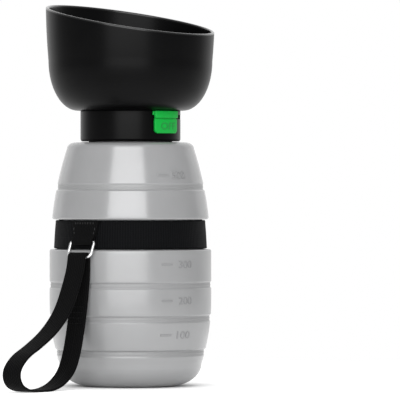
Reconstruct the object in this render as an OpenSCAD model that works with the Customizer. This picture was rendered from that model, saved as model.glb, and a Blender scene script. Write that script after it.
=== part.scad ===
// Dog travel water bottle: a squeeze bottle, a screw head with a turn valve, and a soft bowl that
// folds down.
// Millimetres, +Z up. Origin at the centre of the base, -Y towards the viewer.
// Angles round the bottle are measured from +X, counter-clockwise seen from above.

/* [Bottle] */
// Outer radius of the lower body
body_r = 42.2; // [39:0.1:46]
// Height of the ledge where the lower body ends
ledge_z = 71.4; // [62:0.2:84]
// Depth of the ledge, from the lower body in to the band's seat
ledge_w = 4; // [2.8:0.1:5]
// Height of the seat for the grip band
seat_h = 16; // [13:0.5:22]
// How much the band's seat narrows towards its top
seat_taper = 1; // [0:0.1:2]
// Height of the shoulder, from the band's seat to the neck
shoulder_h = 39.9; // [34:0.1:50]
// Step in from the lower body to the shoulder's lower edge
shoulder_step = 1.4; // [0.8:0.1:2.4]
// Outer radius at the top of the shoulder, before its round edge
shoulder_top_r = 32.8; // [30.5:0.1:35]
// Wall of the bottle
wall_t = 1.4; // [1:0.1:2]
// Thickness of the base
base_t = 1.8; // [1.2:0.1:3]
// Radius of the flat foot
foot_r = 21; // [16:0.5:25]
// Height of the round corner between foot and side
corner_h = 12; // [8:0.5:16]
// How much the side draws in above the corner
draw_in = 5; // [2:0.5:7]
// Height over which the side draws in
draw_in_h = 33; // [24:1:44]
// Height of each squeeze groove
groove_h = 3.6; // [2:0.2:5]
// Depth of each squeeze groove
groove_d = 0.7; // [0.3:0.1:1]

/* [Neck and thread] */
// Outer radius of the neck, without its thread
neck_r = 21.6; // [20:0.1:22.6]
// Height of the neck above the shoulder
neck_h = 7.7; // [7.6:0.1:12]
// Wall of the neck
neck_wall = 1.8; // [1.4:0.1:2.4]
// Rise of the screw thread in one turn
thread_pitch = 4; // [3.6:0.1:4.4]
// Height of the thread's ridge out of the neck
thread_d = 1.3; // [0.9:0.1:1.5]
// Clearance between the two threads, radially
thread_gap = 0.4; // [0.3:0.05:0.6]
// Turns of thread
thread_turns = 1.25; // [1:0.05:1.35]

/* [Head] */
// Wall of the screw collar
collar_wall = 2.8; // [2.2:0.1:3.6]
// Gap between the collar and the shoulder
collar_gap = 0.5; // [0.3:0.1:1.5]
// Thickness of the collar's deck
deck_t = 2.2; // [1.6:0.1:3.5]
// Thickness of the neck gasket
gasket_t = 1.8; // [1.2:0.1:2.6]
// Thickness of the port plate
plate_t = 1.6; // [1.2:0.1:2.6]
// Thickness of the valve seal
seal_t = 0.6; // [0.4:0.1:1.2]
// Radius of the plate screws' shanks
screw_r = 1; // [0.8:0.05:1.2]
// Height of the plate screws' heads
screw_head_h = 1; // [0.8:0.1:1.4]

/* [Valve] */
// Radius of the valve's rotor
rotor_r = 14.4; // [13.8:0.1:14.8]
// Thickness of the rotor
rotor_t = 2.3; // [2.1:0.1:3]
// Radius of each port
port_r = 2.4; // [1.6:0.1:2.6]
// Distance of the ports from the axis
port_at = 8.8; // [8.4:0.1:9.4]
// Turn of the switch from closed to open, in degrees
switch_travel = 40; // [38:1:44]
// Place of the closed switch round the bottle, in degrees
switch_az = -45.5; // [-60:0.5:-30]
// Width of the switch, measured along its face
switch_w = 16.4; // [14:0.2:22]
// Height of the switch
switch_h = 12; // [10:0.2:12.6]
// Thickness of the switch's plate
switch_t = 1.6; // [1.4:0.1:2]
// How far the finger ledge stands out of the plate
ledge_out = 0.6; // [0.3:0.1:0.8]
// Height of the finger ledge
ledge_h = 3.8; // [2.5:0.1:4.5]

/* [Outlet] */
// Radius of the outlet's head
spout_r = 6; // [5:0.1:8]
// Height of the outlet's head
spout_h = 2; // [1.6:0.1:4]
// Outer radius of the outlet's stem
stem_r = 3.4; // [3:0.1:3.6]
// Radius of the water way in the stem
water_r = 2.2; // [1.4:0.1:2.4]
// Thickness of the pale washer under the head
washer_t = 0.7; // [0.5:0.1:1.5]
// Height of the nut
nut_h = 2.4; // [2:0.1:3]

/* [Bowl] */
// Room between the folded bowl and the shoulder
fold_gap = 1.8; // [1.2:0.1:3.5]
// Wall of the bowl at its rim
bowl_rim_t = 1.6; // [1.2:0.1:2.4]
// Wall of the bowl near its floor
bowl_wall = 2; // [1.6:0.1:2.6]
// Thickness of the bowl's floor
bowl_floor_t = 2; // [1.6:0.1:3]
// Height of the rim's centre above the bowl's underside
bowl_h = 47.7; // [38:0.1:49]
// Slant of the rim, in degrees
rim_slant = 11; // [4:0.5:12]
// Direction that the rim's low side faces, in degrees
rim_az = -39; // [-60:1:-20]
// Height of the bowl's round lower corner
bowl_corner_h = 20; // [14:0.5:26]
// How much the side of the bowl leans out
bowl_lean = 2; // [1:0.1:4]

/* [Band and strap] */
// Thickness of the elastic grip band
band_t = 1.6; // [1.2:0.1:2]
// Width of the webbing tab
tab_w = 17; // [15.5:0.5:22]
// Thickness of the tab's webbing
tab_t = 1; // [0.8:0.1:1.4]
// Place of the ring round the bottle, in degrees
ring_az = -125; // [-150:0.5:-110]
// Wire radius of the ring
wire_r = 0.8; // [0.7:0.05:0.95]
// Width of the ring, between the middles of its arms
ring_w = 14.6; // [14.4:0.1:17]
// Height of the ring, between the middles of its bars
ring_h = 8.6; // [8:0.1:12]
// How far the ring leans away from the bottle, in degrees
ring_lean = 24; // [22:1:34]
// Width of the wrist strap
strap_w = 11.2; // [8:0.2:11.4]
// Thickness of the wrist strap
strap_t = 1.1; // [0.8:0.1:1.3]
// How far the wrist strap's loop reaches out from the ring
strap_reach = 52.8; // [40:0.2:70]

/* [Hidden] */
$fn = 96;
far = 200;

// Clearances
loose = 0.2;
running = 0.05;
bore_fit = 0.08;
eps = 0.01;

// Heights up the bottle
seat_top = ledge_z + seat_h;
shoulder_top = seat_top + shoulder_h;
neck_top = shoulder_top + neck_h;
plate_z = neck_top + gasket_t;
seal_z = plate_z + plate_t;
rotor_z = seal_z + seal_t + running;
deck_z = rotor_z + rotor_t + running;
collar_top = deck_z + deck_t;
collar_z = shoulder_top + collar_gap;
stem_gasket_t = 0.8;
nut_z = plate_z - stem_gasket_t - nut_h;
rotor_dish = 1;
gallery_z = rotor_z + rotor_t - rotor_dish;
washer_z = collar_top + bowl_floor_t;
spout_z = washer_z + washer_t;

// Radii of the bottle and the collar
shoulder_r = body_r - shoulder_step;
seat_low_r = body_r - ledge_w;
seat_high_r = seat_low_r - seat_taper;
edge_r = 1.4;
shoulder_edge_h = 2.1;
shoulder_edge_w = 3.6;
shoulder_bulge = 0.49;
neck_in = neck_r - neck_wall;
crest_r = neck_r + thread_d;
bore_r = crest_r + thread_gap;
collar_r = bore_r + collar_wall;
collar_bevel = [0.6, 1];

// Side of the bottle below the ledge, as a radius at height z
side_r = body_r - draw_in;
function body_at(z) =
    z < corner_h ? foot_r + (side_r - foot_r) * sqrt(1 - pow(1 - z / corner_h, 2)) :
    z < corner_h + draw_in_h ? body_r - draw_in * pow(1 - (z - corner_h) / draw_in_h, 2) : body_r;

// Shoulder, as a radius at a share t of its height, a little fuller than a cone
function shoulder_at(t) =
    shoulder_r - (shoulder_r - shoulder_top_r) * ((1 - shoulder_bulge) * t + shoulder_bulge * t * t);

// Squeeze grooves: heights of their middles
low_grooves = [for (share = [0.25, 0.499, 0.741]) share * ledge_z];
shoulder_share = 0.413;
shoulder_groove = seat_top + shoulder_share * shoulder_h;

// The bottle's outline from foot to neck, drawn in by the amount d
corner_steps = 10;
side_steps = 12;
edge_steps = 4;
shoulder_z_end = shoulder_top - shoulder_edge_h;
function outline(d) = concat(
    [for (i = [0 : corner_steps])
        let (a = 90 * i / corner_steps)
        [foot_r + (side_r - foot_r) * sin(a) - d, corner_h * (1 - cos(a))]],
    [for (i = [1 : side_steps])
        let (z = corner_h + draw_in_h * i / side_steps)
        [body_at(z) - d, z]],
    [for (i = [0 : edge_steps])
        let (a = 90 * i / edge_steps)
        [body_r - edge_r * (1 - cos(a)) - d, ledge_z + (d > 0 ? -d : 0) - edge_r * (1 - sin(a))]],
    [[seat_low_r - d, ledge_z + (d > 0 ? -d : 0)], [seat_high_r - d, seat_top + d]],
    [for (i = [0 : edge_steps])
        let (a = 90 * i / edge_steps)
        [shoulder_r - edge_r * (1 - sin(a)) - d, seat_top + d + edge_r * (1 - cos(a))]],
    [for (i = [1 : side_steps])
        let (t = i / side_steps, z0 = seat_top + edge_r)
        [shoulder_at(t) - d, z0 + d + t * (shoulder_z_end - z0 - d)]],
    [for (i = [1 : edge_steps])
        let (a = 90 * i / edge_steps)
        [shoulder_top_r - shoulder_edge_w * (1 - cos(a)) - d,
         shoulder_z_end + (shoulder_edge_h - d) * sin(a)]]
);

// Foot detail
pad_r = 9;
foot_ring_r = 16;
foot_recess = 0.8;

// Thread ridges: half widths at root and tip, and the height of the neck ridge's first section
thread_step = 10;
thread_root = 0.9;
thread_tip = 0.5;
thread_bite = 0.2;
thread_spare = 0.1;
thread_lead = 3;
thread_z = neck_top - thread_spare - thread_root - thread_turns * thread_pitch;

// A helical ridge from root radius to tip radius, starting at angle a0 and height z0
module ridge(root, tip, a0, z0) {
    n = round(thread_turns * 360 / thread_step);
    inside = tip < root;
    section = function (i)
        let (a = a0 + i * thread_step, z = z0 + thread_pitch * i * thread_step / 360,
             lead = max(0.1, min(1, i / thread_lead, (n - i) / thread_lead)),
             r = root + (tip - root) * lead, up = inside ? 1 : -1)
        [for (q = [[root, -up * thread_root], [r, -up * thread_tip],
                   [r, up * thread_tip], [root, up * thread_root]])
            [q.x * cos(a), q.x * sin(a), z + q.y]];
    points = [for (i = [0 : n]) each section(i)];
    sides = [for (i = [0 : n - 1], k = [0 : 3])
        let (p = 4 * i + k, q = 4 * i + (k + 1) % 4)
        each [[p, p + 4, q], [q, p + 4, q + 4]]];
    ends = [[0, 1, 2], [0, 2, 3], [4 * n + 2, 4 * n + 1, 4 * n], [4 * n + 3, 4 * n + 2, 4 * n]];
    polyhedron(points, concat(sides, ends));
}

module tube(r_out, r_in, h) {
    difference() {
        cylinder(r = r_out, h = h);
        translate([0, 0, -eps]) cylinder(r = r_in, h = h + 2 * eps);
    }
}

// A V-sided groove cut round the bottle at height z, where its side has radius r
module groove(r, z) {
    slope = 0.8;
    outside = 1;
    translate([0, 0, z]) rotate_extrude()
        polygon([[r + outside, -groove_h / 2 - slope], [r + outside, groove_h / 2 + slope],
                 [r - groove_d, groove_h / 2 - slope / 2], [r - groove_d, -groove_h / 2 + slope / 2]]);
}

module bottle() {
    color([0.66, 0.67, 0.68]) difference() {
        union() {
            rotate_extrude() polygon(concat([[0, 0]], outline(0),
                [[neck_r, shoulder_top], [neck_r, neck_top], [0, neck_top]]));
            ridge(neck_r - thread_bite, crest_r, 0, thread_z);
        }
        rotate_extrude() polygon(concat([[0, base_t]],
            [for (p = outline(wall_t)) if (p.y > base_t + eps) p],
            [[neck_in, shoulder_top - wall_t], [neck_in, neck_top + 1], [0, neck_top + 1]]));
        for (z = low_grooves) groove(body_at(z), z);
        groove(shoulder_at(shoulder_share), shoulder_groove);
        translate([0, 0, -eps]) tube(foot_ring_r, pad_r, foot_recess + eps);
    }
}

// Grip band and tab: shells that lean with the band's seat
band_gap = 0.15;
band_end = 0.5;
seat_slope = (seat_high_r - seat_low_r) / seat_h;
function seat_at(z) = seat_low_r + seat_slope * (z - ledge_z);

// A strip of shell round the seat, between two heights, from in to out beyond the seat
module seat_strip(z0, z1, in, out, a0, sweep) {
    rotate([0, 0, a0]) rotate_extrude(angle = sweep)
        polygon([[seat_at(z0) + in, z0], [seat_at(z0) + out, z0],
                 [seat_at(z1) + out, z1], [seat_at(z1) + in, z1]]);
}

band_out = band_gap + band_t;
module grip_band() {
    color([0.09, 0.09, 0.1])
        seat_strip(ledge_z + band_end, seat_top - band_end, band_gap, band_out, 0, 360);
}

// Tab: a patch on the band, with a sewn loop that holds the ring's upper bar
tab_in = band_out + band_gap;
tab_out = tab_in + tab_t;
tab_angle = tab_w / (seat_low_r + tab_in) * 180 / PI;
tab_rise = 2.4;
bar_rise = 4.3;
loop_spare = 0.5;
loop_bite = 0.6;
tab_low = ledge_z + tab_rise;
bar_z = ledge_z + bar_rise;
loop_in = wire_r + bore_fit;
loop_out = loop_in + tab_t;
bar_r = seat_at(bar_z) + tab_out + loop_in;
loop_w = ring_w - 2 * (wire_r + loop_spare);

module ring_tab() {
    color([0.11, 0.11, 0.12]) difference() {
        union() {
            seat_strip(tab_low, seat_top - band_end, tab_in, tab_out, ring_az - tab_angle / 2, tab_angle);
            rotate([0, 0, ring_az]) translate([0, loop_w / 2, bar_z]) rotate([90, 0, 0])
                linear_extrude(loop_w) union() {
                    translate([bar_r, 0]) circle(loop_out);
                    translate([bar_r - loop_in - loop_bite * tab_t, -loop_out])
                        square([loop_in, 2 * loop_out]);
                }
        }
        rotate([0, 0, ring_az]) translate([bar_r, 0, bar_z]) rotate([90, 0, 0])
            cylinder(r = loop_in, h = far / 4, center = true);
    }
}

// Stitches along the top and both sides of the tab
stitch_t = 0.35;
stitch_l = 1.5;
stitch_w = 0.45;
stitch_gap = 0.02;
top_stitches = 6;
side_stitches = 3;
row_drop = 3.2;
side_step = 2.3;
side_turn = 1.6;
module tab_stitching() {
    out0 = tab_out + stitch_gap;
    out1 = out0 + stitch_t;
    r = seat_at(seat_top) + out0;
    step = tab_angle / (top_stitches + 1);
    turn = stitch_l / r * 180 / PI;
    thin = stitch_w / r * 180 / PI;
    row_z = seat_top - row_drop;
    color([0.3, 0.3, 0.31]) {
        for (i = [1 : top_stitches])
            seat_strip(row_z, row_z + stitch_w, out0, out1,
                       ring_az - tab_angle / 2 + i * step - turn / 2, turn);
        for (side = [-1, 1], i = [1 : side_stitches])
            seat_strip(row_z - side_step * i, row_z - side_step * i + stitch_l, out0, out1,
                       ring_az + side * (tab_angle / 2 - side_turn) - thin / 2, thin);
    }
}

module neck_gasket() {
    color([0.75, 0.76, 0.76]) translate([0, 0, neck_top])
        tube(crest_r - running, neck_in + running, gasket_t);
}

// Screw bosses under the deck, clear of the switch arm's sweep
boss_r = 2.1;
boss_gap = 0.25;
boss_at = neck_in - boss_r - boss_gap;
boss_az = [60, 160, -110];
hole_spare = 0.3;

// Arm of the rotor, and the slot that it sweeps in the collar
arm_w = 7;
arm_step = 0.3;
arm_z = rotor_z + arm_step;
arm_t = rotor_t - 2 * arm_step;
arm_half = asin(arm_w / 2 / bore_r);
slot_spare = 2.5;
slot_gap = 0.25;

module collar() {
    color([0.1, 0.1, 0.11]) difference() {
        union() {
            difference() {
                rotate_extrude() polygon([[0, collar_z], [collar_r - collar_bevel.x, collar_z],
                    [collar_r, collar_z + collar_bevel.y], [collar_r, collar_top], [0, collar_top]]);
                translate([0, 0, collar_z - 1]) cylinder(r = bore_r, h = deck_z - collar_z + 1);
            }
            for (a = boss_az) rotate([0, 0, a]) translate([boss_at, 0, seal_z])
                cylinder(r = boss_r, h = deck_z - seal_z + eps);
            ridge(bore_r + thread_bite, neck_r + thread_gap, -180 * thread_turns,
                  thread_z + thread_pitch / 2 - thread_turns * thread_pitch / 2);
        }
        translate([0, 0, deck_z - 1]) cylinder(r = stem_r + loose, h = deck_t + 2);
        for (a = boss_az) rotate([0, 0, a]) translate([boss_at, 0, seal_z - 1])
            cylinder(r = screw_r + running, h = screw_in + 1 + hole_spare);
        rotate([0, 0, switch_az - arm_half - slot_spare])
            rotate_extrude(angle = switch_travel + 2 * (arm_half + slot_spare))
                translate([bore_r - 1, arm_z - slot_gap]) square([collar_wall + 2, arm_t + 2 * slot_gap]);
        translate([0, 0, deck_z - eps])
            cylinder(r = stem_oring_r + oring_t + running, h = 2 * (oring_t + running) + eps);
    }
}

module ports(z, h, turn) {
    for (i = [0 : 2]) rotate([0, 0, turn + 120 * i]) translate([port_at, 0, z - 1])
        cylinder(r = port_r, h = h + 2);
}

module port_plate() {
    color([0.78, 0.79, 0.8]) difference() {
        translate([0, 0, plate_z]) cylinder(r = bore_r - loose, h = plate_t);
        ports(plate_z, plate_t, 0);
        translate([0, 0, plate_z - 1]) cylinder(r = stem_r + running, h = plate_t + 2);
        for (a = boss_az) rotate([0, 0, a]) translate([boss_at, 0, plate_z - 1])
            cylinder(r = screw_r + loose, h = plate_t + 2);
    }
}

seal_edge = 1.3;
valve_seal_r = port_at + port_r + seal_edge;
module valve_seal() {
    color([0.85, 0.86, 0.86]) difference() {
        translate([0, 0, seal_z]) tube(valve_seal_r, stem_r + running, seal_t);
        ports(seal_z, seal_t, 0);
    }
}

screw_in = seal_t + rotor_t;
screw_cross = [2.4, 0.5, 0.5];
module plate_screws() {
    color([0.7, 0.71, 0.73]) for (a = boss_az) rotate([0, 0, a]) translate([boss_at, 0, plate_z])
        difference() {
            union() {
                translate([0, 0, -screw_head_h]) cylinder(r = boss_r, h = screw_head_h);
                translate([0, 0, -eps]) cylinder(r = screw_r, h = plate_t + screw_in);
            }
            for (t = [0, 90]) rotate([0, 0, t]) translate([0, 0, -screw_head_h])
                cube([screw_cross.x, screw_cross.y, 2 * screw_cross.z], center = true);
        }
}

// The outlet: a head in the bowl, a stem through the deck and the rotor, and a nut below the port plate
dome = [0.5, 0.2];
dome_start = 0.6;
stem_out = 0.4;
window_w = 2.6;
module outlet_spout() {
    color([0.08, 0.08, 0.09]) difference() {
        union() {
            translate([0, 0, spout_z]) rotate_extrude() polygon([[0, 0], [spout_r, 0],
                [spout_r, spout_h * dome_start], [spout_r - dome.x, spout_h - dome.y],
                [spout_r / 2, spout_h], [0, spout_h]]);
            translate([0, 0, nut_z - stem_out])
                cylinder(r = stem_r, h = spout_z - nut_z + stem_out + eps);
        }
        translate([0, 0, gallery_z]) cylinder(r = water_r, h = far);
        for (t = [45, 135]) rotate([0, 0, t]) translate([-stem_r - 1, -window_w / 2, gallery_z])
            cube([2 * stem_r + 2, window_w, deck_z - gallery_z]);
    }
}

washer_out = 0.1;
module spout_washer() {
    color([0.6, 0.61, 0.62]) translate([0, 0, washer_z])
        tube(spout_r + washer_out, stem_r + running, washer_t);
}

oring_t = 0.5;
stem_oring_r = stem_r + oring_t + running;
module stem_oring() {
    color([0.2, 0.2, 0.2]) translate([0, 0, deck_z + oring_t + running]) rotate_extrude()
        translate([stem_oring_r, 0]) circle(oring_t, $fn = 32);
}

port_spare = 0.5;
module stem_gasket() {
    color([0.2, 0.2, 0.2]) translate([0, 0, plate_z - stem_gasket_t])
        tube(port_at - port_r - port_spare, stem_r + running, stem_gasket_t);
}

nut_wall = 2.2;
module spout_nut() {
    color([0.15, 0.15, 0.16]) translate([0, 0, nut_z]) difference() {
        cylinder(r = stem_r + nut_wall, h = nut_h, $fn = 6);
        translate([0, 0, -1]) cylinder(r = stem_r + running, h = nut_h + 2);
    }
}

// The rotor turns on the stem, and its dish is the gallery that leads water to the stem's windows
dish_edge = 0.6;
oring_edge = 1.3;
arm_root = 2.4;
arm_out = 1.2;
dish_r = port_at + port_r + dish_edge;
oring_groove = rotor_r - oring_edge;
arm_end = collar_r + arm_out;
module valve_rotor() {
    color([0.1, 0.66, 0.28]) difference() {
        union() {
            translate([0, 0, rotor_z]) cylinder(r = rotor_r, h = rotor_t);
            rotate([0, 0, switch_az]) translate([rotor_r - arm_root, -arm_w / 2, arm_z])
                cube([arm_end - rotor_r + arm_root, arm_w, arm_t]);
        }
        translate([0, 0, gallery_z]) cylinder(r = dish_r, h = rotor_t);
        translate([0, 0, rotor_z - 1]) cylinder(r = stem_r + running, h = rotor_t + 2);
        ports(rotor_z, rotor_t, -switch_travel);
        translate([0, 0, rotor_z + rotor_t - 2 * ring_t - eps])
            tube(oring_groove + ring_t + running, oring_groove - ring_t - running, far);
    }
}

ring_t = 0.4;
module rotor_oring() {
    color([0.2, 0.2, 0.2]) translate([0, 0, rotor_z + rotor_t - ring_t]) rotate_extrude()
        translate([oring_groove, 0]) circle(ring_t - eps, $fn = 32);
}

// The switch: a curved plate outside the collar with a finger ledge, pushed onto the rotor's arm
switch_gap = 0.3;
switch_drop = 0.3;
switch_in = collar_r + switch_gap;
switch_out = switch_in + switch_t;
switch_top = collar_top - switch_drop;
switch_low = switch_top - switch_h;
switch_round = 1.6;
split_d = 0.5;
lug = [0.6, 2.2, 2];
module valve_switch() {
    half = switch_w / (2 * switch_out) * 180 / PI;
    split = switch_top - ledge_h;
    color([0.1, 0.66, 0.28]) difference() {
        union() {
            intersection() {
                rotate([0, 0, switch_az - half - 5]) rotate_extrude(angle = 2 * half + 10)
                    polygon([[switch_in, switch_low], [switch_out, switch_low],
                        [switch_out, split - split_d], [switch_out - split_d, split - split_d / 2],
                        [switch_out - split_d, split], [switch_out + ledge_out, split + split_d],
                        [switch_out + ledge_out, switch_top - split_d], [switch_out, switch_top],
                        [switch_in, switch_top]]);
                rotate([0, 0, switch_az]) rotate([90, 0, 90]) linear_extrude(far / 4) union() {
                    translate([-switch_w / 2, switch_low + switch_round]) square([switch_w, switch_h]);
                    translate([-switch_w / 2 + switch_round, switch_low])
                        square([switch_w - 2 * switch_round, switch_h]);
                    for (s = [-1, 1])
                        translate([s * (switch_w / 2 - switch_round), switch_low + switch_round])
                            circle(switch_round);
                }
            }
            rotate([0, 0, switch_az - half - 3]) rotate_extrude(angle = 6)
                translate([switch_in, switch_top - lug.y]) square([lug.x * switch_t, lug.z]);
        }
        rotate([0, 0, switch_az]) translate([switch_in - 2, -arm_w / 2 - running, arm_z - running])
            cube([arm_end - switch_in + 2 + running, arm_w + 2 * running, arm_t + 2 * running]);
    }
}

// The bowl: its side stands over the shoulder when it is folded down
bowl_r = shoulder_r + fold_gap + bowl_rim_t;
bowl_side_r = bowl_r - bowl_lean;
bowl_flat_r = collar_r + 0.4;
bowl_steps = 14;
bowl_top_h = bowl_h + bowl_r * tan(rim_slant) + 2;
hole_gap = 0.3;
function bowl_line(in, up) = concat(
    [for (i = [0 : bowl_steps])
        let (a = 90 * i / bowl_steps)
        [bowl_flat_r + (bowl_side_r - bowl_flat_r - in) * sin(a), up + (bowl_corner_h - up) * (1 - cos(a))]],
    [for (i = [1 : bowl_steps])
        let (s = i / bowl_steps, thin = in > 0 ? in + (bowl_rim_t - bowl_wall) * s : 0)
        [bowl_side_r + bowl_lean * (1 - pow(1 - s, 2)) - thin,
         bowl_corner_h + (bowl_top_h - bowl_corner_h) * s]]
);

module bowl() {
    color([0.07, 0.07, 0.08]) translate([0, 0, collar_top]) difference() {
        rotate_extrude() polygon(concat([[0, 0]], bowl_line(0, 0), [[0, bowl_top_h]]));
        rotate_extrude() polygon(concat([[0, bowl_floor_t]], bowl_line(bowl_wall, bowl_floor_t),
            [[bowl_r - bowl_rim_t, bowl_top_h + 1], [0, bowl_top_h + 1]]));
        translate([0, 0, bowl_h]) rotate([0, 0, rim_az]) rotate([0, rim_slant, 0])
            translate([-far, -far, 0]) cube([2 * far, 2 * far, far]);
        translate([0, 0, -1]) cylinder(r = stem_r + hole_gap, h = bowl_floor_t + 2);
    }
}

// The ring: a straight bar in the tab, two arms and a rounded lower bar, leaning away from the bottle
top_corner = 1.3;
low_corner = 3;
module rod(from, to) {
    d = to - from;
    translate(from) rotate([0, acos(d.z / norm(d)), atan2(d.y, d.x)])
        cylinder(r = wire_r, h = norm(d), $fn = 32);
}

module bend(y, z, r, a0) {
    translate([0, y, z]) rotate([90, 0, 90]) rotate([0, 0, a0]) rotate_extrude(angle = 90, $fn = 64)
        translate([r, 0]) circle(wire_r, $fn = 32);
}

module at_bar() {
    rotate([0, 0, ring_az]) translate([bar_r, 0, bar_z]) rotate([0, -ring_lean, 0]) children();
}

module d_ring() {
    side = ring_w / 2;
    color([0.82, 0.82, 0.84]) at_bar() union() {
        rod([0, -side + top_corner, 0], [0, side - top_corner, 0]);
        rod([0, -side + low_corner, -ring_h], [0, side - low_corner, -ring_h]);
        for (s = [-1, 1]) rod([0, s * side, -ring_h + low_corner], [0, s * side, -top_corner]);
        bend(side - top_corner, -top_corner, top_corner, 0);
        bend(-side + top_corner, -top_corner, top_corner, 90);
        bend(-side + low_corner, -ring_h + low_corner, low_corner, 180);
        bend(side - low_corner, -ring_h + low_corner, low_corner, 270);
    }
}

// The wrist strap: one flat loop of webbing over the ring's lower bar, its lowest run on the floor.
// Each route point is a share of the reach outwards and a share of the drop.
wrap_gap = 0.5;
wrap_r = wire_r + wrap_gap + strap_t / 2;
bow_r = bar_r + ring_h * sin(ring_lean);
bow_z = bar_z - ring_h * cos(ring_lean);
drop = bow_z - strap_t / 2;
route = [[0.06, 0.10], [0.12, 0.22], [0.21, 0.36], [0.32, 0.47], [0.48, 0.575], [0.68, 0.665],
         [0.86, 0.735], [0.97, 0.81], [1, 0.88], [0.955, 0.95], [0.84, 0.99], [0.68, 1], [0.5, 0.995],
         [0.34, 0.955], [0.2, 0.87], [0.115, 0.74], [0.05, 0.55], [0, 0.34], [-0.03, 0.15]];

// A smooth curve from the first to the last point of p
curve_steps = 3;
function mix3(a, b, c, d, t) = 0.5 * (2 * b + (c - a) * t + (2 * a - 5 * b + 4 * c - d) * t * t
    + (3 * b - a - 3 * c + d) * t * t * t);
function smooth_curve(p) = let (n = len(p)) [for (i = [0 : n - 2], k = [0 : curve_steps - 1])
    mix3(i == 0 ? 2 * p[0] - p[1] : p[i - 1], p[i], p[i + 1],
         i == n - 2 ? 2 * p[n - 1] - p[n - 2] : p[i + 2], k / curve_steps)];

// The strap's middle line: over the bar, down the front leg, along the floor and up the back leg
strap_line = concat(
    [for (a = [160 : -20 : 20]) [wrap_r * cos(a), wrap_r * sin(a)]],
    smooth_curve(concat([[wrap_r, 0]], [for (p = route) [p.x * strap_reach, -p.y * drop]], [[-wrap_r, 0]])),
    [[-wrap_r, 0]]
);

// A closed line moved sideways by d
function shifted(c, d) = let (n = len(c)) [for (i = [0 : n - 1])
    let (u = (c[(i + 1) % n] - c[i]) / norm(c[(i + 1) % n] - c[i]),
         v = (c[i] - c[(i + n - 1) % n]) / norm(c[i] - c[(i + n - 1) % n]), w = (u + v) / norm(u + v))
    c[i] + d * [-w.y, w.x]];

module at_bow() {
    rotate([0, 0, ring_az]) translate([bow_r, 0, bow_z]) children();
}

module wrist_strap() {
    color([0.1, 0.1, 0.11]) at_bow() translate([0, strap_w / 2, 0]) rotate([90, 0, 0])
        linear_extrude(strap_w) difference() {
            polygon(shifted(strap_line, strap_t / 2));
            polygon(shifted(strap_line, -strap_t / 2));
        }
}

// Thread bars that close the strap's seam, on the outer face of its back leg
seam_bars = 4;
seam_share = 0.7;
seam_points = [16, 17];
seam_lift = 0.12;
module strap_stitching() {
    w = strap_w * seam_share;
    ends = [for (i = seam_points) [route[i].x * strap_reach, -route[i].y * drop]];
    run = norm(ends[1] - ends[0]);
    along = (ends[1] - ends[0]) / run;
    lift = (strap_t / 2 + seam_lift) * [along.y, -along.x];
    color([0.3, 0.3, 0.31]) at_bow() for (i = [1 : seam_bars])
        let (p = ends[0] + along * run * i / (seam_bars + 1) + lift)
        translate([p.x, -w / 2, p.y]) rotate([0, atan2(along.x, along.y), 0])
            cube([stitch_t, w, stitch_w]);
}

bottle();
grip_band();
ring_tab();
tab_stitching();
neck_gasket();
collar();
port_plate();
valve_seal();
plate_screws();
outlet_spout();
spout_washer();
stem_oring();
stem_gasket();
spout_nut();
valve_rotor();
rotor_oring();
valve_switch();
bowl();
d_ring();
wrist_strap();
strap_stitching();
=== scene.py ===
import math

import bmesh
import bpy
from mathutils import Matrix, Vector


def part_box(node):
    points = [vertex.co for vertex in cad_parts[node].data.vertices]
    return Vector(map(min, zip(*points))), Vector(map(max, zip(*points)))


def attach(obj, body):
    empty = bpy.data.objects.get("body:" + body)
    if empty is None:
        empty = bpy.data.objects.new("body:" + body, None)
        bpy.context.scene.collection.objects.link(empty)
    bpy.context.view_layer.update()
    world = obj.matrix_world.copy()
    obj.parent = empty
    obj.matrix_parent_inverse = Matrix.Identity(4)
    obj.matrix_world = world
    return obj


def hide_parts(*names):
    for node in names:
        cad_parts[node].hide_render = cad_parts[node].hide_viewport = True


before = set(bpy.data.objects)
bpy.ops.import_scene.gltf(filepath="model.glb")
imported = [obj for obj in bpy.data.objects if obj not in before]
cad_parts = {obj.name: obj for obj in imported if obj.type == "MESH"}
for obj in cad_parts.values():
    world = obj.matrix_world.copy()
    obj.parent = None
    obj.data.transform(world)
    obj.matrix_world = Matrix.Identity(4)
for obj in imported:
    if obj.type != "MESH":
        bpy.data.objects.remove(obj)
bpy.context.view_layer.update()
print("frame loaded")

# Every piece is modelled in millimetres and made metres in the end
mm = 0.001
roundSteps = 160
switchAzimuth = -45.5
ringAzimuth = -125
rimAzimuth = -39          # where the bowl's rim is lowest


def nodeBox(node):
    low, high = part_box(node)
    return low / mm, high / mm


# Camera

cameraPlace = {"location": (0.0363, -2.340, 0.108), "tilt": 90 - 0.2693, "lens": 403.4, "sensor": 36}


def setCamera(size):
    data = bpy.data.cameras.new("camera")
    data.lens = size["lens"]
    data.sensor_width = size["sensor"]
    made = bpy.data.objects.new("camera", data)
    made.location = size["location"]
    made.rotation_euler = (math.radians(size["tilt"]), 0, 0)
    bpy.context.scene.collection.objects.link(made)
    bpy.context.scene.camera = made


setCamera(cameraPlace)
print("camera set")


# Finishes: a Wire is a socket that takes part in sums, and a Finish is a material that makes its nodes

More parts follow.
